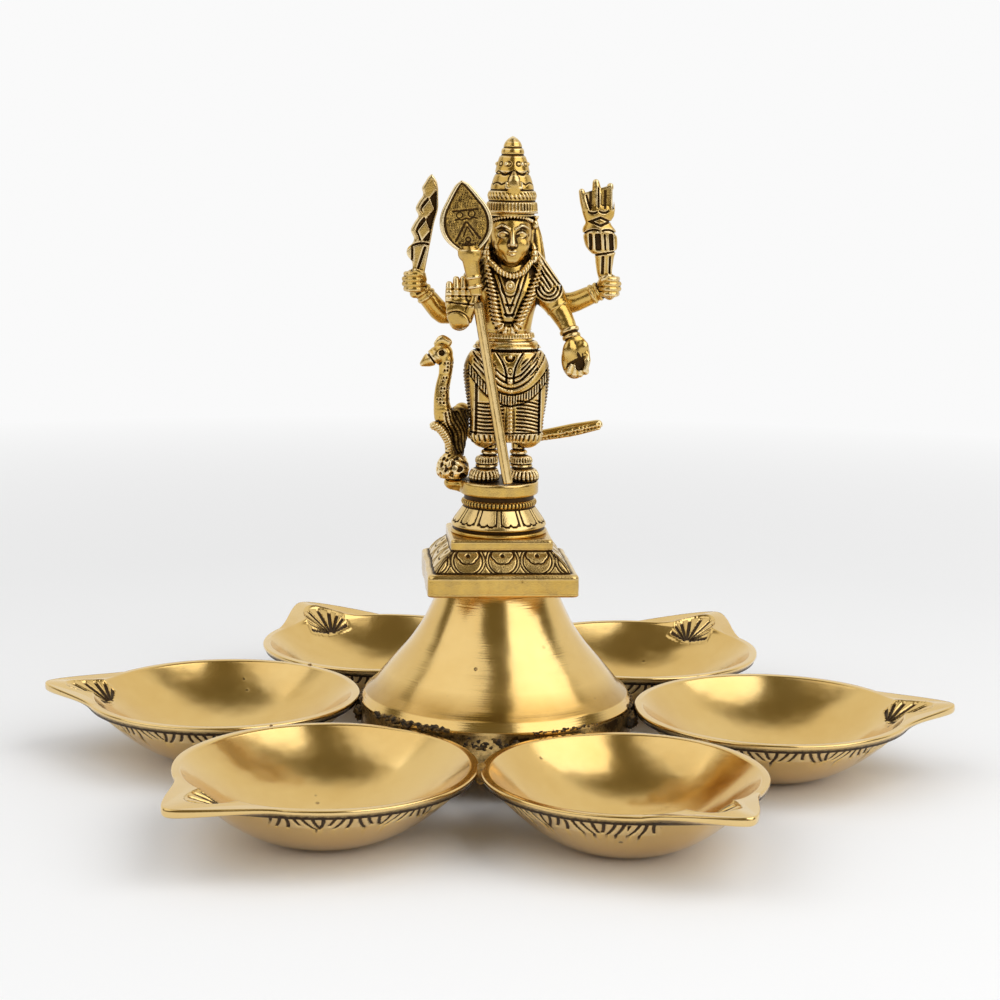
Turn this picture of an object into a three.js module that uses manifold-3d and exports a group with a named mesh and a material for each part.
// A brass oil lamp: six spouted bowls brazed in a ring round a turned bell, which carries a
// square lotus plinth, a round lotus drum and a standing four-armed figure with spear and peacock.
// Millimetres, +Z up. The floor is z = 0 and the bell's axis is the Z axis. The bowl at +X is bowl 1.

import * as THREE from 'three';
import { mergeVertices } from 'three/addons/utils/BufferGeometryUtils.js';
import Module from 'manifold-3d';

const wasm = await Module();
wasm.setup();

// Bowls. The last one, at the front right, came out smaller and sits a little round the ring.
const bowlCount = 6;
const bowlRimRadius = 37;
const smallBowlCut = 2.3;
const smallBowlRadius = bowlRimRadius - smallBowlCut;
const smallBowlShift = -1;
const bowlHeight = 18;
const bowlWall = 2;
const bowlFloor = 2.4;
const bowlFootRadius = 8.5;
const bowlFlatRadius = 6;
const bowlGap = 0.4;
const outsideShares = [0, 0.3, 0.6, 0.83];
const insideShares = [0.86, 0.6, 0.25];
const dishPower = 1.8;
const rimOverhang = 0.6;
const rimEdgeHeight = 1.1;
const neckDrop = 2.4;
const rimRound = 0.1;
const plainColumns = 16;
const spoutColumns = [2.5, 5, 10, 15, 20, 25];

// Spouts: each one is turned a few degrees off the line from the lamp's axis, as cast by hand
const spoutReach = 12.5;
const spoutHalfAngle = 30;
const spoutTipAngle = 3;
const spoutPower = 1.8;
const spoutLift = 1.4;
const spoutThickness = 1.9;
const keelDrop = 1.2;
const shelfRound = 0.35;
const spoutTurns = [5, 3, 0, 0, -4, 7.5];

// The scallop shell pressed into each spout, which holds the wick
const shellApex = 30.5;
const shellLength = 12;
const shellHalfAngle = 34;
const shellFlutes = 8;
const shellApexDepth = 4.2;
const shellEndDepth = 0.4;
const fluteDepth = 0.55;
const cutAbove = 4;

// Bell
const bellWallGap = 0.8;
const bellBottom = 10;
const bellEdge = 20.7;
const bellTop = 50.3;
const bellNeckRadius = 15.5;
const bellWall = 2.2;
const bellPlate = 3;
const bellPower = 1.5;
const bellEdgeRound = 0.8;
const bellEdgeStep = 0.4;
const bellRings = 6;
const bellRingCrowding = 1.2;

// Brazed joints
const jointClearance = 0.3;
const seatGap = 0.3;
const tabLength = 7;
const tabDepth = 4.2;
const lugLength = 9;
const lugDepth = 5.5;

// Square plinth
const slabHalf = 19.7;
const slabHeight = 5.9;
const slabRound = 1.3;
const bandBottomHalf = 17.9;
const bandTopHalf = 13.2;
const bandHeight = 5.3;
const stepHalf = 13.45;
const stepHeight = 2.9;
const medallionWidth = 8.2;
const medallionRise = 0.7;
const medallionsPerSide = 3;
const medallionLobes = 5;
const medallionDrop = 0.72;
const medallionTop = 0.42;
const medallionPitch = 1.12;
const lobeDepth = 0.1;
const castOverlap = 0.3;
const boreOverrun = 1;

// Round lotus drum with its beaded collar
const drumFootRadius = 13;
const drumTopRadius = 10;
const drumHeight = 7.1;
const drumFootRim = 1;
const petalCount = 12;
const petalRise = 0.55;
const petalFullness = 0.6;
const collarRadius = 10.1;
const collarHeight = 2;
const collarBeads = 20;
const beadRound = 0.3;
const beadGroove = 0.25;
const grooveRadius = 9.3;
const grooveHeight = 1.2;

// Disc under the figure, with the lug that carries the peacock's mound
const discRadius = 10.45;
const discHeight = 3.6;
const discRound = 0.5;
const lugReach = 14.6;
const lugHalfWidth = 3.6;

// Fixing inside the bell
const studRadius = 2.5;
const studEngagement = 2;
const discCover = 1;
const studBelowPlate = 9;
const washerRadius = 8;
const washerThickness = 1.2;
const nutFlats = 9;
const nutHeight = 4;

// The whole upper stack stands turned by this angle
const statueTurn = 7.9;

// Figure, measured from the top of its disc
const figureLean = 2.1;
const skirtBottom = 10.5;
const hipHeight = 29.5;
const hipHalfWidth = 11.6;
const hipHalfDepth = 7.2;
const hipTaper = 1.3;
const hemHalves = [10.3, 6.8];
const hemHeight = 3.2;
const hemRound = 0.9;
const kneeHeight = 20;
const kneeHalves = [10.9, 7];
const waistHeight = 38.6;
const waistHalfWidth = 6.6;
const waistHalfDepth = 4.8;
const beltHeight = 2.3;
const beltRise = 0.8;
const chestHalfWidth = 8.8;
const chestHalfDepth = 5.4;
const shoulderHeight = 53.5;
const shoulderHalfWidth = 9.6;
const bellyDrop = 7.5;
const chestDrop = 3.1;
const neckHalfWidth = 3.2;
const neckBase = 3.6;
const neckRise = 6.5;
const headRise = 11.1;
const headHalfWidth = 5.7;
const headHalfDepth = 5.9;
const headHalfHeight = 7.6;
const noseHalves = [0.8, 0.9, 1.5];
const noseReach = 0.6;
const noseDrop = 0.9;
const earLine = [[0, 0.4, 2.4], [0.9, 0, -2.1], [1.4, -0.6, -7]];
const earHalfWidths = [0.9, 1.1, 1.3];
const brimRise = 6.4;
const crownBrimRadius = 6.9;
const crownHeight = 19.3;
const footCentres = [-4.1, 6.5];
const footHalves = [4.2, 5];
const ankleHalves = [2.4, 2.5];
const anklet = { bottom: 3, top: 5.4, half: 3.2 };

// Arms: points on their middle lines, from the shoulder out, and their half widths there.
// Their heights, and those of the hands, count from the shoulders.
const blessingArm = [[-7.3, 0.4, -1.1], [-9.6, 0.6, -6.1], [-11, -0.4, -10.9], [-11.4, -6.8, -10.5]];
const blessingArmHalfWidths = [3.2, 2.9, 2.5, 2.2];
const blessingPalm = [-11.5, -7, -8.1];
const givingArm = [
  [9, 0.2, -1.7],
  [12.2, -0.2, -3.9],
  [14.8, -1.4, -8.1],
  [16.9, -3.6, -11.9],
  [18.2, -5, -15.5],
];
const givingArmHalfWidths = [4.3, 4.4, 3, 2.5, 2];
const givingPalm = [19, -6, -19.1];
const palmHalves = [3.9, 1.8, 4.9];
const leftRearArmLine = [
  [-4.4, 4.6, -3.1],
  [-10, 5.4, -7.1],
  [-14.6, 4.4, -9.9],
  [-19, 2.6, -5.9],
  [-22.8, 1.6, -1.3],
];
const rightRearArmLine = [
  [7.4, 4.6, -2.5],
  [12.6, 5.2, -5.1],
  [17.4, 4.4, -6.9],
  [23, 2.8, -4.9],
  [28.3, 1.4, -2.1],
];
const rearArmHalfWidths = [2.6, 2.9, 2.8, 2.5, 2.1];
const fistHalves = [3.3, 2.9, 3.3];

// Emblems of the rear hands, their heights from the shoulders: a staff of lozenges, and a pleated
// bell with three prongs as sections of height, centre, half width and half depth
const staffLine = [[-22.4, 1.4, -0.5], [-21.4, 1.2, 6.5], [-19.6, 1, 15.5], [-17.7, 0.8, 26.3]];
const staffHalfWidths = [1.5, 1.9, 2.7, 2, 2.8, 1.9, 2.8, 1.8, 2.6, 1.7, 0.5];
const emblemSections = [
  [-1.5, 28, 1.2, 1.5, 1.4],
  [4.5, 27, 1.1, 2.3, 1.7],
  [6.6, 26.5, 1.1, 2.6, 1.9],
  [7.8, 26.3, 1, 3.8, 2.2],
  [12.9, 25.6, 1, 4.5, 2.5],
  [13.8, 25.4, 1, 4.2, 2.3],
  [14.9, 25.2, 1, 2.7, 1.7],
  [15.7, 25.1, 1, 2.8, 1.7],
  [17.1, 24.9, 1, 4.7, 2],
  [18.9, 24.8, 1, 4.8, 1.9],
];
const prongSpread = [3.1, 3.4, 3.6];
const prongLean = [24.9, 24.8, 24.6];
const prongHeights = [17.5, 21.5, 24.9];
const middleProngRise = 1.2;
const prongHalfWidths = [1.6, 1.75, 0.9];

// Garland and hair: points down one side, out from the figure's middle and up from its shoulders
const garlandLine = [[-7.1, -2.2, 4.5], [-5.5, -4.9, -1.5], [-4.4, -5.7, -7], [-3, -5.7, -12]];
const garlandLow = [-0.1, -5.4, -14.5];
const garlandHalfWidth = 1.05;
const lockLine = [[5.6, 2.4, 14.5], [7.4, 2.6, 7.5], [9.6, 2.4, 1.5], [11, 1.8, -2]];
const lockHalfWidths = [1.8, 2.2, 3, 3.4];

// Spear: a rod from the disc's front edge, and a cast head that butts on the rod
const rodRadius = 1.35;
const rodFoot = [1.6, -8.8, 0.35];
const spearCollar = [-9.2, -9.2, 60.1];
const rodShare = 0.79;
const stemRadius = 1.9;
const bladeLength = 18.6;
const bladeHalfWidth = 6.8;
const bladeThickness = 2.2;
const bladeRim = 1.1;
const bladeLean = -7;

// Peacock on its mound, with points on the middle lines of its parts and their half widths
const peacockDepth = 1.5;
const moundSections = [
  [seatGap, -12.4, 3, 3],
  [1.6, -12.6, 3.7, 3.6],
  [4.6, -12.4, 3.5, 3.3],
  [6.6, -12, 2.2, 2.2],
];
const peacockBody = [[-12.4, 1, 5], [-11.6, 1.4, 9.6], [-11.6, 2, 14.6], [-9.4, 4.2, 18.6]];
const peacockBodyHalfWidths = [2.6, 3, 4, 2.6];
const peacockNeck = [
  [-11.6, 1.6, 13.4],
  [-14.4, 0.6, 15.4],
  [-16, 0, 19.6],
  [-15.2, 0, 24.8],
  [-14.1, 0, 30.6],
  [-15.8, 0, 34],
];
const peacockNeckHalfWidths = [3.2, 3, 2.4, 2, 1.8, 2.4];
const peacockHead = [-15.9, 0, 33.9];
const peacockHeadHalves = [2.9, 2.3, 2.5];
const beakLine = [[-17, 0, 33.6], [-19.2, 0, 32], [-21.2, 0, 30.2]];
const beakHalfWidths = [1.9, 1.3, 0.5];
const crestLine = [[-15.2, 0, 35], [-15, 0, 37], [-14.4, 0, 38.8]];
const crestHalfWidths = [1.9, 1.4, 0.8];
const snakeLine = [
  [-11.6, -1.4, 5],
  [-13.4, -2, 9],
  [-15, -2.2, 12.2],
  [-16.8, -2, 14.4],
  [-18.4, -1.8, 13.6],
];
const snakeHalfWidths = [1, 1.2, 1.2, 1.3, 0.9];

// The tail's points, their depth counted from its line behind the skirt
const tailRadius = 1.5;
const tailBack = 8.9;
const tailRoot = [-12.2, 3.6, 13.4];
const tailLine = [[-7, -0.9, 11.2], [0, 0, 10.3], [9, 0, 10.3], [18, -0.6, 11.8], [27.2, -1.4, 13.8]];

const radians = THREE.MathUtils.degToRad;
const fullTurn = 2 * Math.PI;
const bowlCircleRadius = (bowlRimRadius + bowlGap / 2) / Math.sin(Math.PI / bowlCount);
const bellFootRadius = bowlCircleRadius - bowlRimRadius - bellWallGap;
const plinthTop = bellTop + slabHeight + bandHeight + stepHeight;
const discBottom = plinthTop + drumHeight + collarHeight + grooveHeight;
const discTop = discBottom + discHeight;
const headCentreHeight = shoulderHeight + headRise;
const crownBrimHeight = headCentreHeight + brimRise;
const crownTipHeight = crownBrimHeight + crownHeight;

const polishedBrass = new THREE.MeshStandardMaterial({ color: 0xc9a24a, roughness: 0.25, metalness: 1 });
const agedBrass = new THREE.MeshStandardMaterial({ color: 0xa9853b, roughness: 0.45, metalness: 1 });
const brazeMetal = new THREE.MeshStandardMaterial({ color: 0x6b5226, roughness: 0.7, metalness: 0.8 });
const zincSteel = new THREE.MeshStandardMaterial({ color: 0xa8abad, roughness: 0.4, metalness: 1 });

// A geometry as a solid that can be joined and cut.
function solid(geometry) {
  const bare = geometry.clone();
  bare.deleteAttribute('normal');
  bare.deleteAttribute('uv');
  const merged = mergeVertices(bare, 1e-4);
  const vertProperties = new Float32Array(merged.attributes.position.array);
  const triVerts = new Uint32Array(merged.index.array);
  return new wasm.Manifold(new wasm.Mesh({ numProp: 3, vertProperties, triVerts }));
}

// A solid as a geometry.
function geometryOf(shape) {
  const mesh = shape.getMesh();
  const geometry = new THREE.BufferGeometry();
  geometry.setAttribute('position', new THREE.BufferAttribute(mesh.vertProperties, 3));
  geometry.setIndex(new THREE.BufferAttribute(mesh.triVerts, 1));
  geometry.computeVertexNormals();
  return geometry;
}

function joined(shapes) {
  return shapes.reduce((whole, shape) => whole.add(shape));
}

// Joins a list of rings of points, each to the next, and closes both ends at their middle.
function skin(rings) {
  const count = rings[0].length;
  const positions = rings.flat(2);
  const middles = [rings[0], rings[rings.length - 1]];
  for (const ring of middles) {
    for (let axis = 0; axis < 3; axis++) {
      positions.push(ring.reduce((sum, point) => sum + point[axis], 0) / count);
    }
  }
  const firstMiddle = rings.length * count;
  const lastRing = (rings.length - 1) * count;
  const faces = [];
  for (let side = 0; side < count; side++) {
    const next = (side + 1) % count;
    for (let row = 0; row < rings.length - 1; row++) {
      const low = row * count;
      const high = low + count;
      faces.push(low + side, low + next, high + next);
      faces.push(low + side, high + next, high + side);
    }
    faces.push(firstMiddle, next, side);
    faces.push(firstMiddle + 1, lastRing + side, lastRing + next);
  }
  const geometry = new THREE.BufferGeometry();
  geometry.setAttribute('position', new THREE.BufferAttribute(new Float32Array(positions), 3));
  geometry.setIndex(faces);
  return geometry;
}

// Level oval sections, each [height, centre x, centre y, half width, half depth].
function loft(sections, sides, grow = 0) {
  const rings = sections.map(([height, x, y, halfWidth, halfDepth]) => {
    const ring = [];
    for (let side = 0; side < sides; side++) {
      const angle = (fullTurn * side) / sides;
      const across = (halfWidth + grow) * Math.cos(angle);
      const back = (halfDepth + grow) * Math.sin(angle);
      ring.push([x + across, y + back, height]);
    }
    return ring;
  });
  return skin(rings);
}

// The value that a list of evenly spaced values has at a share of its length.
function along(values, share) {
  const place = share * (values.length - 1);
  const index = Math.min(Math.floor(place), values.length - 2);
  return THREE.MathUtils.lerp(values[index], values[index + 1], place - index);
}

// A tapering limb on a smooth curve through the points. depthRatio flattens it front to back.
function limb(points, halfWidths, { sides = 8, steps = 6, depthRatio = 1, grow = 0 } = {}) {
  const curve = new THREE.CatmullRomCurve3(points.map((point) => new THREE.Vector3(...point)));
  const rings = [];
  for (let step = 0; step <= steps; step++) {
    const share = step / steps;
    const centre = curve.getPoint(share);
    const way = curve.getTangent(share);
    const depth = new THREE.Vector3(0, 1, 0).addScaledVector(way, -way.y).normalize();
    const side = new THREE.Vector3().crossVectors(depth, way);
    const halfWidth = along(halfWidths, share) + grow;
    const halfDepth = along(halfWidths, share) * depthRatio + grow;
    const ring = [];
    for (let corner = 0; corner < sides; corner++) {
      const angle = (fullTurn * corner) / sides;
      const point = centre.clone();
      point.addScaledVector(side, halfWidth * Math.cos(angle));
      point.addScaledVector(depth, halfDepth * Math.sin(angle));
      ring.push(point.toArray());
    }
    rings.push(ring);
  }
  return skin(rings);
}

function ball([x, y, z], [halfWidth, halfDepth, halfHeight], around = 12, up = 8) {
  const geometry = new THREE.SphereGeometry(1, around, up);
  geometry.rotateX(Math.PI / 2);
  geometry.scale(halfWidth, halfDepth, halfHeight);
  return geometry.translate(x, y, z);
}

// A turned solid from [radius, height] points.
function turned(profile, segments) {
  const geometry = new THREE.LatheGeometry(profile.map(([r, z]) => new THREE.Vector2(r, z)), segments);
  return geometry.rotateX(Math.PI / 2);
}

// A round bar along the Z axis.
function bar(radius, bottom, top, segments) {
  const geometry = new THREE.CylinderGeometry(radius, radius, top - bottom, segments);
  geometry.rotateX(Math.PI / 2);
  return geometry.translate(0, 0, (top + bottom) / 2);
}

// A square block with rounded corners and rounded edges, standing on a height.
function roundedBlock(half, bottom, height, round) {
  const inner = half - round;
  const shape = new THREE.Shape();
  shape.moveTo(-inner, -inner + round);
  for (const [x, y] of [[-1, 1], [1, 1], [1, -1], [-1, -1]]) {
    const before = x * y < 0 ? [x * inner, y * (inner - round)] : [x * (inner - round), y * inner];
    const after = x * y < 0 ? [x * (inner - round), y * inner] : [x * inner, y * (inner - round)];
    shape.lineTo(...before);
    shape.quadraticCurveTo(x * inner, y * inner, ...after);
  }
  const geometry = new THREE.ExtrudeGeometry(shape, {
    depth: height - 2 * round,
    bevelThickness: round,
    bevelSize: round,
    bevelSegments: 1,
    curveSegments: 1,
  });
  return geometry.translate(0, 0, bottom + round);
}

// Height of the bowl's outer or inner dish at a distance from its middle.
function dishHeight(distance, flat, edge, bottom) {
  const share = THREE.MathUtils.clamp((distance - flat) / (edge - flat), 0, 1);
  return bottom + (bowlHeight - bottom) * share ** dishPower;
}

// The bowl's outside away from its spout, from its foot up to its neck, as [radius, height] points.
function bowlOutside(rimRadius) {
  const points = outsideShares.map((share) => {
    const radius = THREE.MathUtils.lerp(bowlFootRadius, rimRadius, share);
    return [radius, dishHeight(radius, bowlFootRadius, rimRadius, 0)];
  });
  return [...points, [rimRadius - rimOverhang, bowlHeight - neckDrop]];
}

// How much of the spout stands at an angle off its middle: 1 at the tip, 0 at its roots.
function spoutShare(angle) {
  const rounded = Math.hypot(angle, spoutTipAngle) - spoutTipAngle;
  const root = Math.hypot(spoutHalfAngle, spoutTipAngle) - spoutTipAngle;
  return Math.max(0, 1 - rounded / root) ** spoutPower;
}

// The angles of a bowl's columns, closer together across the spout.
function bowlAngles() {
  const angles = [0, ...spoutColumns];
  const plainAngle = (360 - 2 * spoutHalfAngle) / plainColumns;
  for (let step = 0; step <= plainColumns; step++) {
    angles.push(spoutHalfAngle + step * plainAngle);
  }
  for (const angle of spoutColumns.toReversed()) {
    angles.push(360 - angle);
  }
  return angles;
}

// One bowl with its spout along +X, its foot on the floor and its middle on the Z axis.
function bowl(rimRadius) {
  const innerRim = rimRadius - bowlWall;
  const rings = [];
  for (const degrees of bowlAngles()) {
    const signed = degrees > 180 ? degrees - 360 : degrees;
    const share = spoutShare(Math.abs(signed));
    const edge = rimRadius + spoutReach * share;
    const lift = spoutLift * Math.sqrt(share);
    const keel = keelDrop * share;
    const lipDrop = rimEdgeHeight + (spoutThickness - rimEdgeHeight) * share;
    const outline = [];
    for (const [radius, height] of bowlOutside(rimRadius)) {
      outline.push([radius, height - keel * (radius / rimRadius) ** 4]);
    }
    outline.push([edge - rimRound, bowlHeight + lift - lipDrop]);
    outline.push([edge - shelfRound, bowlHeight + lift]);
    outline.push([innerRim, bowlHeight + lift * share]);
    for (const across of insideShares) {
      const radius = THREE.MathUtils.lerp(bowlFlatRadius, innerRim, across);
      outline.push([radius, dishHeight(radius, bowlFlatRadius, innerRim, bowlFloor)]);
    }
    const angle = radians(degrees);
    rings.push(outline.map(([r, z]) => [r * Math.cos(angle), r * Math.sin(angle), z]));
  }
  const rows = rings[0].map((point, row) => rings.map((ring) => ring[row]));
  const shell = solid(scallopShell()).translate([rimRadius - bowlRimRadius, 0, 0]);
  return solid(skin(rows)).subtract(shell);
}

// The space of the wick's scallop shell: flutes that fan out from a point inside the bowl.
function scallopShell() {
  const bottoms = [];
  const tops = [];
  const cutTop = bowlHeight + spoutLift + cutAbove;
  const endHeight = bowlHeight + spoutLift - shellEndDepth;
  const edges = 2 * shellFlutes;
  for (let edge = 0; edge <= edges; edge++) {
    const angle = radians(shellHalfAngle * (1 - (2 * edge) / edges));
    const x = shellApex + shellLength * Math.cos(angle);
    const y = shellLength * Math.sin(angle);
    const inFlute = edge % 2 === 1;
    bottoms.push([x, y, inFlute ? endHeight - fluteDepth : endHeight]);
    tops.push([x, y, cutTop]);
  }
  const apexHeight = bowlHeight - shellApexDepth;
  const positions = [...bottoms, ...tops, [shellApex, 0, apexHeight], [shellApex, 0, cutTop]].flat();
  const count = edges + 1;
  const apex = 2 * count;
  const faces = [];
  for (let edge = 0; edge < edges; edge++) {
    faces.push(apex, edge, edge + 1);
    faces.push(apex + 1, count + edge + 1, count + edge);
    faces.push(edge, count + edge, count + edge + 1);
    faces.push(edge, count + edge + 1, edge + 1);
  }
  faces.push(apex, apex + 1, count, apex, count, 0);
  faces.push(apex, edges, count + edges, apex, count + edges, apex + 1);
  const geometry = new THREE.BufferGeometry();
  geometry.setAttribute('position', new THREE.BufferAttribute(new Float32Array(positions), 3));
  geometry.setIndex(faces);
  return geometry;
}

// The part of a bowl's outside that a braze fillet covers, downwards between two heights.
function coveredOutside(rimRadius, top, bottom) {
  const points = bowlOutside(rimRadius).reverse();
  const covered = [];
  for (let index = 1; index < points.length; index++) {
    const [upper, lower] = [points[index - 1], points[index]];
    if (lower[1] >= top || upper[1] <= bottom) {
      continue;
    }
    if (covered.length === 0) {
      covered.push([upper[0], Math.min(top, upper[1])]);
    }
    const height = Math.max(bottom, lower[1]);
    const share = (upper[1] - height) / (upper[1] - lower[1]);
    covered.push([THREE.MathUtils.lerp(upper[0], lower[0], share), height]);
  }
  return covered;
}

// A braze fillet: an outline in the XZ plane, extruded to both sides of it.
function fillet(outline, length) {
  const shape = new THREE.Shape(outline.map(([x, z]) => new THREE.Vector2(x, z)));
  const geometry = new THREE.ExtrudeGeometry(shape, { depth: length, bevelEnabled: false });
  geometry.translate(0, 0, -length / 2);
  return geometry.rotateX(Math.PI / 2);
}

// The fillet between two neighbouring bowls, on the line from the first one's middle to the other's.
function rimTab(first, second) {
  const top = bowlHeight - neckDrop;
  const apart = first.centre.distanceTo(second.centre);
  const left = coveredOutside(first.rimRadius, top, top - tabDepth);
  const right = coveredOutside(second.rimRadius, top, top - tabDepth);
  return fillet([
    ...left.map(([radius, height]) => [radius + jointClearance, height]).reverse(),
    ...right.map(([radius, height]) => [apart - radius - jointClearance, height]),
  ], tabLength);
}

// The fillet between a bowl and the bell, on the +X side of the bell.
function bellLug({ rimRadius, centre }) {
  const top = bowlHeight - neckDrop;
  const wall = bellFootRadius + jointClearance;
  const covered = coveredOutside(rimRadius, top, top - lugDepth);
  const outside = covered.map(([radius, height]) => [centre.length() - radius - jointClearance, height]);
  return fillet([[wall, top], ...outside, [wall, top - lugDepth]], lugLength);
}

// The bell's outer radius at a height, above its edge.
function bellRadius(height) {
  const share = (height - bellEdge) / (bellTop - bellEdge);
  const shoulder = bellFootRadius - bellEdgeStep;
  return bellNeckRadius + (shoulder - bellNeckRadius) * (1 - share) ** bellPower;
}

function bell() {
  const innerTop = bellTop - bellPlate;
  const outside = [[bellFootRadius, bellBottom], [bellFootRadius, bellEdge - bellEdgeRound]];
  const inside = [];
  for (let step = 0; step <= bellRings; step++) {
    const height = THREE.MathUtils.lerp(bellEdge, bellTop, (step / bellRings) ** bellRingCrowding);
    outside.push([bellRadius(height), height]);
  }
  for (let step = bellRings; step >= 0; step -= 2) {
    const height = THREE.MathUtils.lerp(bellEdge, innerTop, (step / bellRings) ** bellRingCrowding);
    inside.push([bellRadius(height) - bellWall, height]);
  }
  const hole = studRadius + jointClearance;
  const profile = [...outside, [hole, bellTop], [hole, innerTop], ...inside];
  profile.push([bellFootRadius - bellWall, bellBottom], outside[0]);
  return turned(profile, 32);
}

// One lotus medallion: a lobed boss that stands on a sloping face.
function medallion() {
  const shape = new THREE.Shape();
  const points = medallionLobes * 2;
  for (let step = 0; step <= points; step++) {
    const angle = Math.PI * (step / points);
    const lobe = 1 - lobeDepth * Math.abs(Math.cos(medallionLobes * angle));
    const x = (medallionWidth / 2) * lobe * Math.cos(angle);
    const y = -bandHeight * medallionDrop * lobe * Math.sin(angle);
    if (step === 0) {
      shape.moveTo(x, y);
    } else {
      shape.lineTo(x, y);
    }
  }
  shape.closePath();
  const depth = castOverlap + medallionRise;
  const geometry = new THREE.ExtrudeGeometry(shape, { depth, bevelEnabled: false });
  return geometry.translate(0, 0, -castOverlap);
}

function squarePlinth() {
  const bandBottom = bellTop + slabHeight;
  const bandTop = bandBottom + bandHeight;
  const corners = [[1, -1], [1, 1], [-1, 1], [-1, -1]];
  const bandRings = [
    corners.map(([x, y]) => [x * bandBottomHalf, y * bandBottomHalf, bandBottom - castOverlap]),
    corners.map(([x, y]) => [x * bandTopHalf, y * bandTopHalf, bandTop + castOverlap]),
  ];
  const pieces = [
    solid(roundedBlock(slabHalf, bellTop, slabHeight, slabRound)),
    solid(skin(bandRings)),
    solid(roundedBlock(stepHalf, bandTop, stepHeight, slabRound / 2)),
  ];
  const slope = Math.atan2(bandBottomHalf - bandTopHalf, bandHeight);
  const faceHalf = (bandBottomHalf + bandTopHalf) / 2;
  for (let side = 0; side < 4; side++) {
    for (let place = 0; place < medallionsPerSide; place++) {
      const across = (place - (medallionsPerSide - 1) / 2) * medallionWidth * medallionPitch;
      const boss = medallion();
      boss.translate(0, bandHeight * medallionTop, 0);
      boss.rotateX(Math.PI / 2 - slope);
      boss.translate(across, -faceHalf, bandBottom + bandHeight / 2);
      boss.rotateZ((side * Math.PI) / 2);
      pieces.push(solid(boss));
    }
  }
  const bore = bar(studRadius + jointClearance, bellTop - boreOverrun, plinthTop + boreOverrun, 16);
  return geometryOf(joined(pieces).subtract(solid(bore)));
}

// The drum: petals that swell from a waist and droop to a scalloped edge, then the beaded collar.
function lotusDrum() {
  const columns = petalCount * 4;
  const foot = plinthTop;
  const top = plinthTop + drumHeight;
  const collarTop = top + collarHeight;
  const rows = [
    [drumFootRadius - 0.5, foot, 0],
    [drumFootRadius, foot + drumFootRim / 2, 0],
    [drumFootRadius - 0.2, foot + drumFootRim, 0],
    [drumFootRadius - 0.7, foot + drumFootRim + 0.4, 0.3],
    [drumFootRadius - 0.7, foot + 2.4, 1],
    [drumFootRadius - 1.7, foot + 4.2, 0.8],
    [drumTopRadius, foot + 6.3, 0.3],
    [drumTopRadius - 0.8, top, 0],
  ];
  const rings = rows.map(([radius, height, rise]) => {
    const ring = [];
    for (let column = 0; column < columns; column++) {
      const angle = (fullTurn * column) / columns;
      const petal = Math.abs(Math.sin((petalCount * angle) / 2)) ** petalFullness;
      const r = radius + petalRise * rise * (petal - 0.5);
      ring.push([r * Math.cos(angle), r * Math.sin(angle), height]);
    }
    return ring;
  });
  const beadColumns = collarBeads * 2;
  const beadRings = [[beadRound, 0], [0, 0.5], [beadRound, 1]].map(([drawnIn, share]) => {
    const ring = [];
    for (let column = 0; column < beadColumns; column++) {
      const angle = (fullTurn * column) / beadColumns;
      const r = collarRadius - drawnIn - (column % 2) * beadGroove;
      ring.push([r * Math.cos(angle), r * Math.sin(angle), top + share * collarHeight]);
    }
    return ring;
  });
  const pieces = [
    solid(skin(rings)),
    solid(skin(beadRings)),
    solid(bar(grooveRadius, collarTop - castOverlap, discBottom, 24)),
  ];
  const bore = bar(studRadius + jointClearance, plinthTop - boreOverrun, discBottom + boreOverrun, 16);
  return geometryOf(joined(pieces).subtract(solid(bore)));
}

// The figure's disc, with a lug on the left and a blind hole below for the stud.
function figureDisc() {
  const profile = [
    [0, discBottom],
    [discRadius - discRound, discBottom],
    [discRadius, discBottom + discRound],
    [discRadius, discTop - discRound],
    [discRadius - discRound, discTop],
    [0, discTop],
  ];
  const lug = loft([
    [discBottom + 0.8, -discRadius, peacockDepth, lugHalfWidth * 0.5, lugHalfWidth * 0.5],
    [discTop - 1.4, -lugReach + lugHalfWidth, peacockDepth, lugHalfWidth, lugHalfWidth],
    [discTop, -lugReach + lugHalfWidth, peacockDepth, lugHalfWidth, lugHalfWidth],
  ], 12);
  const hole = bar(studRadius + jointClearance, discBottom - boreOverrun, discTop - discCover, 16);
  return geometryOf(solid(turned(profile, 32)).add(solid(lug)).subtract(solid(hole)));
}

// Points with their heights counted from the shoulders, as points on the figure.
function fromShoulders(points) {
  return points.map(([x, y, z]) => [x, y, shoulderHeight + z]);
}

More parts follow.
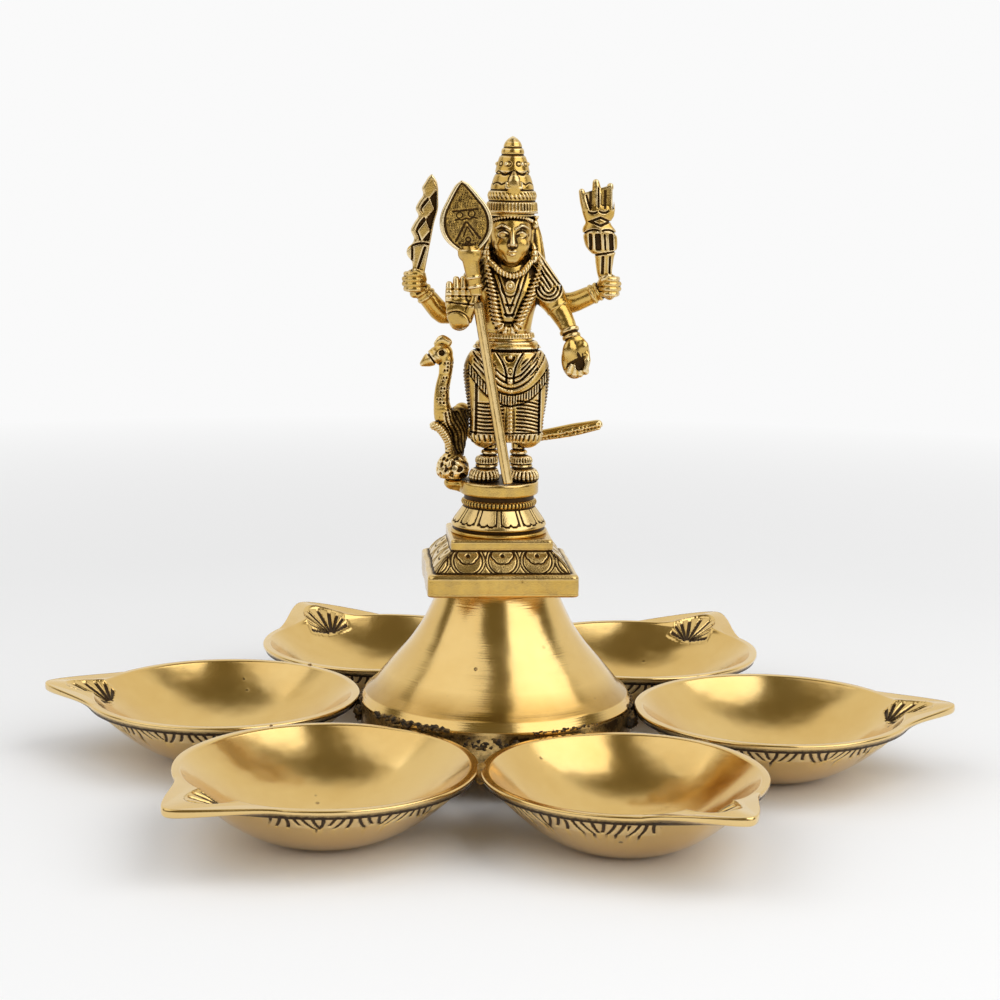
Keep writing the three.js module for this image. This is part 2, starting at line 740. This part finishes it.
// The trunk, from the skirt's hem to the neck, with both front arms and the locks of hair that fall
// on to the shoulders. Grown by a clearance it cuts what is brazed on behind it.
function body(grow = 0) {
  const waistX = figureLean * 0.7;
  const [hemHalf, hemDepth] = hemHalves;
  const [kneeHalf, kneeDepth] = kneeHalves;
  const chestDepth = chestHalfDepth;
  const skirt = loft([
    [skirtBottom, waistX, 0, hemHalf - hemRound, hemDepth - hemRound * 0.7],
    [skirtBottom + hemHeight / 2, waistX, 0, hemHalf, hemDepth],
    [skirtBottom + hemHeight, waistX, 0, hemHalf - hemRound / 2, hemDepth - hemRound / 2],
    [kneeHeight, waistX, 0, kneeHalf, kneeDepth],
    [hipHeight, waistX, 0, hipHalfWidth, hipHalfDepth],
    [hipHeight + hipTaper * 3, waistX, 0, hipHalfWidth - hipTaper, hipHalfDepth - hipTaper * 0.4],
    [waistHeight - beltHeight, waistX, 0, waistHalfWidth + beltRise * 2, waistHalfDepth + beltRise],
    [waistHeight - beltHeight * 0.7, waistX, 0, waistHalfWidth + beltRise * 0.2, waistHalfDepth],
    [waistHeight, waistX, 0, waistHalfWidth, waistHalfDepth],
    [shoulderHeight - bellyDrop, figureLean * 0.8, 0, chestHalfWidth * 0.84, chestDepth],
    [shoulderHeight - chestDrop, figureLean * 0.9, 0, chestHalfWidth, chestDepth],
    [shoulderHeight, figureLean, 0, shoulderHalfWidth, chestDepth * 0.85],
    [shoulderHeight + neckBase * 0.6, figureLean, 0, shoulderHalfWidth * 0.73, chestDepth * 0.7],
    [shoulderHeight + neckBase, figureLean, 0, neckHalfWidth * 1.06, neckHalfWidth],
    [shoulderHeight + neckRise, figureLean, 0, neckHalfWidth, neckHalfWidth],
  ], 16, grow);
  const blessing = limb(fromShoulders(blessingArm), blessingArmHalfWidths, { steps: 5, grow });
  const giving = limb(fromShoulders(givingArm), givingArmHalfWidths, { steps: 5, grow });
  const locks = [-1, 1].map((side) => {
    const line = fromShoulders(lockLine).map(([x, y, z]) => [figureLean + side * x, y, z]);
    return limb(line, lockHalfWidths, { sides: 6, steps: 3, grow });
  });
  return joined([skirt, blessing, giving, ...locks].map(solid));
}

// The crown's rings, each [share of its height, share of its brim's radius].
const crownRings = [
  [0, 0.9],
  [0.02, 1],
  [0.16, 1],
  [0.18, 0.86],
  [0.25, 0.92],
  [0.37, 0.88],
  [0.4, 0.76],
  [0.5, 0.7],
  [0.52, 0.62],
  [0.6, 0.64],
  [0.7, 0.55],
  [0.72, 0.44],
  [0.8, 0.42],
  [0.82, 0.33],
  [0.92, 0.27],
  [0.98, 0.12],
];

function crown() {
  const brim = crownBrimHeight;
  const rise = crownTipHeight - crownBrimHeight;
  const profile = [[0, brim], ...crownRings.map(([up, out]) => [out * crownBrimRadius, brim + up * rise])];
  profile.push([0, crownTipHeight]);
  return turned(profile, 12).translate(figureLean + 0.2, 0, 0);
}

// A hand: a flat palm, four fingers side by side and a thumb. reach is +1 upwards and -1 downwards.
function hand(palm, reach, thumbSide) {
  const [[x, y, z]] = fromShoulders([palm]);
  const [halfWidth, , palmHeight] = palmHalves;
  const pieces = [solid(ball([x, y, z], palmHalves, 8, 6))];
  const fingerRoot = z + reach * palmHeight * 0.45;
  const fingerHalf = halfWidth / 4.4;
  for (let finger = 0; finger < 4; finger++) {
    const across = (finger - 1.5) * fingerHalf * 1.9;
    const length = palmHeight * (finger === 0 || finger === 3 ? 1.15 : 1.35);
    const points = [
      [x + across * 0.9, y, fingerRoot],
      [x + across, y - 0.5, fingerRoot + reach * length * 0.6],
      [x + across, y - 0.2, fingerRoot + reach * length],
    ];
    const halfWidths = [fingerHalf, fingerHalf * 1.05, fingerHalf * 0.5];
    pieces.push(solid(limb(points, halfWidths, { sides: 5, steps: 2 })));
  }
  const thumb = [
    [x + thumbSide * halfWidth * 0.5, y - 0.4, z - reach * palmHeight * 0.4],
    [x + thumbSide * halfWidth * 1.05, y - 1, z + reach * palmHeight * 0.1],
    [x + thumbSide * halfWidth * 0.95, y - 0.8, z + reach * palmHeight * 0.75],
  ];
  pieces.push(solid(limb(thumb, [fingerHalf, fingerHalf, fingerHalf * 0.5], { sides: 5, steps: 2 })));
  return joined(pieces);
}

// A foot under its anklet: a bell-shaped mound with the toes to the front.
function foot(x) {
  const [footHalf, footDepth] = footHalves;
  const [ankleHalf, ankleDepth] = ankleHalves;
  return solid(loft([
    [0, x, -0.9, footHalf - 0.1, footDepth - 0.1],
    [anklet.bottom * 0.47, x, -0.9, footHalf, footDepth],
    [anklet.bottom, x, -0.4, anklet.half + 0.4, anklet.half + 0.8],
    [anklet.top, x, 0, anklet.half, anklet.half + 0.1],
    [anklet.top + 0.3, x, 0, ankleHalf + 0.1, ankleDepth + 0.1],
    [skirtBottom + 1, x, 0, ankleHalf, ankleDepth],
  ], 10));
}

// The garland that hangs from both shoulders to the waist.
function garland() {
  const middle = figureLean + garlandLow[0];
  const half = garlandLine.map(([x, y, z]) => [middle + x, y, z]);
  const rest = half.map(([x, y, z]) => [2 * middle - x, y, z]).reverse();
  const low = [middle, garlandLow[1], garlandLow[2]];
  const points = [...half, low, ...rest];
  const halfWidths = points.map(() => garlandHalfWidth);
  return solid(limb(fromShoulders(points), halfWidths, { sides: 5, steps: 12 }));
}

function figure() {
  const headHalves = [headHalfWidth, headHalfDepth, headHalfHeight];
  const pieces = [
    body(),
    solid(ball([figureLean, -noseReach, headCentreHeight], headHalves)),
    solid(crown()),
    garland(),
    ...footCentres.map(foot),
  ];
  // Nose and ears with their long earrings
  const noseHeight = headCentreHeight - noseDrop;
  pieces.push(solid(ball([figureLean, -headHalfDepth - noseReach, noseHeight], noseHalves, 8, 6)));
  for (const side of [-1, 1]) {
    const x = figureLean + side * headHalfWidth;
    const ear = earLine.map(([out, y, rise]) => [x + side * out, y, headCentreHeight + rise]);
    pieces.push(solid(limb(ear, earHalfWidths, { sides: 6, steps: 2 })));
  }
  // Belt
  const beltHalf = waistHalfWidth + beltRise;
  const beltDepth = waistHalfDepth + beltRise;
  pieces.push(solid(loft([
    [waistHeight - beltHeight, figureLean * 0.7, 0, beltHalf * 1.1, beltDepth * 1.07],
    [waistHeight - beltHeight * 0.6, figureLean * 0.7, 0, beltHalf * 1.06, beltDepth * 1.02],
    [waistHeight - beltHeight * 0.25, figureLean * 0.7, 0, beltHalf, beltDepth],
  ], 16)));
  // One hand blesses with its palm to the front, and the other hangs open with its fingers down
  pieces.push(hand(blessingPalm, 1, 1));
  pieces.push(hand(givingPalm, -1, -1));
  const spearSpace = solid(spearStem(jointClearance)).add(solid(spearRod(jointClearance)));
  const whole = joined(pieces).subtract(spearSpace);
  return geometryOf(whole.translate([0, 0, discTop]));
}

// A rear arm: elbow out, forearm raised, fist closed round the handle of its emblem.
function rearArm(line, emblem) {
  const points = fromShoulders(line);
  const fist = points[points.length - 1];
  const pieces = [
    solid(limb(points, rearArmHalfWidths)),
    solid(ball(fist, fistHalves, 8, 6)),
    ...emblem,
  ];
  return geometryOf(joined(pieces).subtract(body(jointClearance)).translate([0, 0, discTop]));
}

// The staff in the left hand: a flat bar of lozenges that end in a bud.
function lozengeStaff() {
  const bar = limb(fromShoulders(staffLine), staffHalfWidths, { sides: 6, steps: 16, depthRatio: 0.55 });
  return [solid(bar)];
}

// The emblem in the right hand: a pleated bell, a waist and three blunt prongs.
function threeProngs() {
  const sections = emblemSections.map(([rise, ...rest]) => [shoulderHeight + rise, ...rest]);
  const pieces = [solid(loft(sections, 10))];
  for (const side of [-1, 0, 1]) {
    const line = prongHeights.map((rise, index) => {
      const extra = side === 0 && index === 2 ? middleProngRise : 0;
      return [prongLean[index] + side * prongSpread[index], 1, rise + extra];
    });
    pieces.push(solid(limb(fromShoulders(line), prongHalfWidths, { sides: 6, steps: 3 })));
  }
  return pieces;
}

// A point on the spear's straight line from its foot to its collar.
function spearPoint(share) {
  return rodFoot.map((value, axis) => THREE.MathUtils.lerp(value, spearCollar[axis], share));
}

// A round bar between two points, its ends square to its length.
function barBetween(from, to, startRadius, endRadius, segments) {
  const start = new THREE.Vector3(...from);
  const way = new THREE.Vector3(...to).sub(start);
  const geometry = new THREE.CylinderGeometry(endRadius, startRadius, way.length(), segments);
  geometry.translate(0, way.length() / 2, 0);
  const turn = new THREE.Quaternion().setFromUnitVectors(new THREE.Vector3(0, 1, 0), way.normalize());
  return geometry.applyQuaternion(turn).translate(...from);
}

function spearRod(grow = 0) {
  return barBetween(rodFoot, spearPoint(rodShare), rodRadius + grow, rodRadius + grow, 16);
}

// The stem below the collar, which butts on the rod's end with the clearance between them.
function spearStem(grow = 0) {
  const length = Math.hypot(...spearCollar.map((value, axis) => value - rodFoot[axis]));
  const start = rodShare + (jointClearance - grow) / length;
  return barBetween(spearPoint(start), spearPoint(1), stemRadius * 0.8 + grow, stemRadius + grow, 12);
}

// The leaf of the spear, standing on its point of balance with its tip up.
function leaf(scale, depth) {
  const width = bladeHalfWidth * scale;
  const low = bladeLength * 0.5 * (1 - scale);
  const high = bladeLength - low;
  const belly = THREE.MathUtils.lerp(low, high, 0.42);
  const shape = new THREE.Shape();
  shape.moveTo(0, high);
  shape.bezierCurveTo(-width * 0.5, high * 0.86, -width, belly + 3.4, -width, belly);
  shape.bezierCurveTo(-width, belly - 3.8, -width * 0.6, low + 0.8, -width * 0.25, low);
  shape.lineTo(width * 0.25, low);
  shape.bezierCurveTo(width * 0.6, low + 0.8, width, belly - 3.8, width, belly);
  shape.bezierCurveTo(width, belly + 3.4, width * 0.5, high * 0.86, 0, high);
  const geometry = new THREE.ExtrudeGeometry(shape, { depth, bevelEnabled: false, curveSegments: 6 });
  return geometry.rotateX(Math.PI / 2);
}

// The spear's cast head: leaf, collar and the stem that goes down beside the blessing hand.
function spearHead() {
  const recess = (bladeHalfWidth - bladeRim) / bladeHalfWidth;
  const plate = solid(leaf(1, bladeThickness));
  const hollow = solid(leaf(recess, bladeThickness).translate(0, bladeThickness * -0.75, 0));
  const [x, y, z] = spearCollar;
  const blade = plate.subtract(hollow).rotate([0, bladeLean, 0]);
  const pieces = [
    blade.translate([x, y + bladeThickness / 2, z]),
    solid(loft([
      [z - 1.4, x, y, 2.6, 2],
      [z - 0.8, x, y, 3, 2.2],
      [z + 0.8, x, y, 3, 2.2],
      [z + 1.4, x, y, 2.6, 2],
    ], 10)),
    solid(spearStem()),
  ];
  return geometryOf(joined(pieces).translate([0, 0, discTop]));
}

// Peacock: mound, body, long neck, beaked head with its crest, and the snake it holds.
function peacock() {
  const behind = (points) => points.map(([x, y, z]) => [x, peacockDepth + y, z]);
  const part = (points, halfWidths, sides, steps, depthRatio = 1) =>
    solid(limb(behind(points), halfWidths, { sides, steps, depthRatio }));
  const mound = moundSections.map(([z, x, ...halves]) => [z, x, peacockDepth, ...halves]);
  const pieces = [
    solid(loft(mound, 10)),
    part(peacockBody, peacockBodyHalfWidths, 8, 5),
    part(peacockNeck, peacockNeckHalfWidths, 8, 8),
    solid(ball(behind([peacockHead])[0], peacockHeadHalves, 8, 6)),
    part(beakLine, beakHalfWidths, 6, 2),
    part(crestLine, crestHalfWidths, 6, 2, 0.6),
    part(snakeLine, snakeHalfWidths, 6, 6),
  ];
  const cut = joined([body(jointClearance), solid(tail(jointClearance))]);
  return geometryOf(joined(pieces).subtract(cut).translate([0, 0, discTop]));
}

// The peacock's tail: a rod let into the body, which passes behind the skirt and ends rounded.
function tail(grow = 0) {
  const root = [tailRoot[0], peacockDepth + tailRoot[1], tailRoot[2]];
  const points = [root, ...tailLine.map(([x, y, z]) => [x, tailBack + y, z])];
  const halfWidths = [0.87, 1, 1, 0.87, 1, 1.2, 0.8].map((share) => share * tailRadius);
  return limb(points, halfWidths, { sides: 6, steps: 10, grow });
}

function stud() {
  const bottom = bellTop - bellPlate - studBelowPlate;
  return bar(studRadius, bottom, discBottom + studEngagement, 16);
}

function washer() {
  const top = bellTop - bellPlate;
  const hole = studRadius + jointClearance;
  const bottom = top - washerThickness;
  const start = [hole, bottom];
  return turned([start, [washerRadius, bottom], [washerRadius, top], [hole, top], start], 24);
}

function nut() {
  const top = bellTop - bellPlate - washerThickness;
  const shape = new THREE.Shape();
  const corner = nutFlats / 2 / Math.cos(Math.PI / 6);
  for (let side = 0; side < 6; side++) {
    const angle = (fullTurn * side) / 6;
    const point = [corner * Math.cos(angle), corner * Math.sin(angle)];
    if (side === 0) {
      shape.moveTo(...point);
    } else {
      shape.lineTo(...point);
    }
  }
  shape.closePath();
  const hole = new THREE.Path();
  hole.absarc(0, 0, studRadius + jointClearance, 0, fullTurn, true);
  shape.holes.push(hole);
  const options = { depth: nutHeight, bevelEnabled: false, curveSegments: 8 };
  return new THREE.ExtrudeGeometry(shape, options).translate(0, 0, top - nutHeight);
}

const lamp = new THREE.Group();
const statue = new THREE.Group();
statue.rotation.z = radians(statueTurn);
lamp.add(statue);

function add(parent, name, geometry, material) {
  const mesh = new THREE.Mesh(geometry, material);
  mesh.name = name;
  parent.add(mesh);
  return mesh;
}

// Where each bowl stands: its middle is out from the bell by its own rim and the gap.
const bowls = [];
for (let place = 0; place < bowlCount; place++) {
  const small = place === bowlCount - 1;
  const rimRadius = small ? smallBowlRadius : bowlRimRadius;
  const angle = (fullTurn * place) / bowlCount + (small ? radians(smallBowlShift) : 0);
  const out = bellFootRadius + bellWallGap + rimRadius;
  const centre = new THREE.Vector2(out * Math.cos(angle), out * Math.sin(angle));
  bowls.push({ rimRadius, angle, centre });
}
bowls.forEach((each, place) => {
  const number = place + 1;
  const next = bowls[number % bowlCount];
  const mesh = add(lamp, `bowl_${number}`, geometryOf(bowl(each.rimRadius)), polishedBrass);
  mesh.position.set(each.centre.x, each.centre.y, 0);
  mesh.rotation.z = each.angle + radians(spoutTurns[place]);
  const lug = add(lamp, `bell_lug_${number}`, bellLug(each), brazeMetal);
  lug.rotation.z = each.angle;
  const tab = add(lamp, `rim_tab_${number}`, rimTab(each, next), brazeMetal);
  tab.position.set(each.centre.x, each.centre.y, 0);
  tab.rotation.z = next.centre.clone().sub(each.centre).angle();
});
add(lamp, 'bell_base', bell(), polishedBrass);
add(lamp, 'tie_stud', stud(), zincSteel);
add(lamp, 'stud_washer', washer(), zincSteel);
add(lamp, 'stud_nut', nut(), zincSteel);
add(statue, 'square_plinth', squarePlinth(), agedBrass);
add(statue, 'lotus_drum', lotusDrum(), agedBrass);
add(statue, 'figure_disc', figureDisc(), agedBrass);
add(statue, 'figure', figure(), agedBrass);
add(statue, 'left_rear_arm', rearArm(leftRearArmLine, lozengeStaff()), agedBrass);
add(statue, 'right_rear_arm', rearArm(rightRearArmLine, threeProngs()), agedBrass);
add(statue, 'spear_head', spearHead(), agedBrass);
add(statue, 'spear_rod', spearRod().translate(0, 0, discTop), polishedBrass);
add(statue, 'peacock', peacock(), agedBrass);
add(statue, 'peacock_tail', tail().translate(0, 0, discTop), agedBrass);

export default lamp;
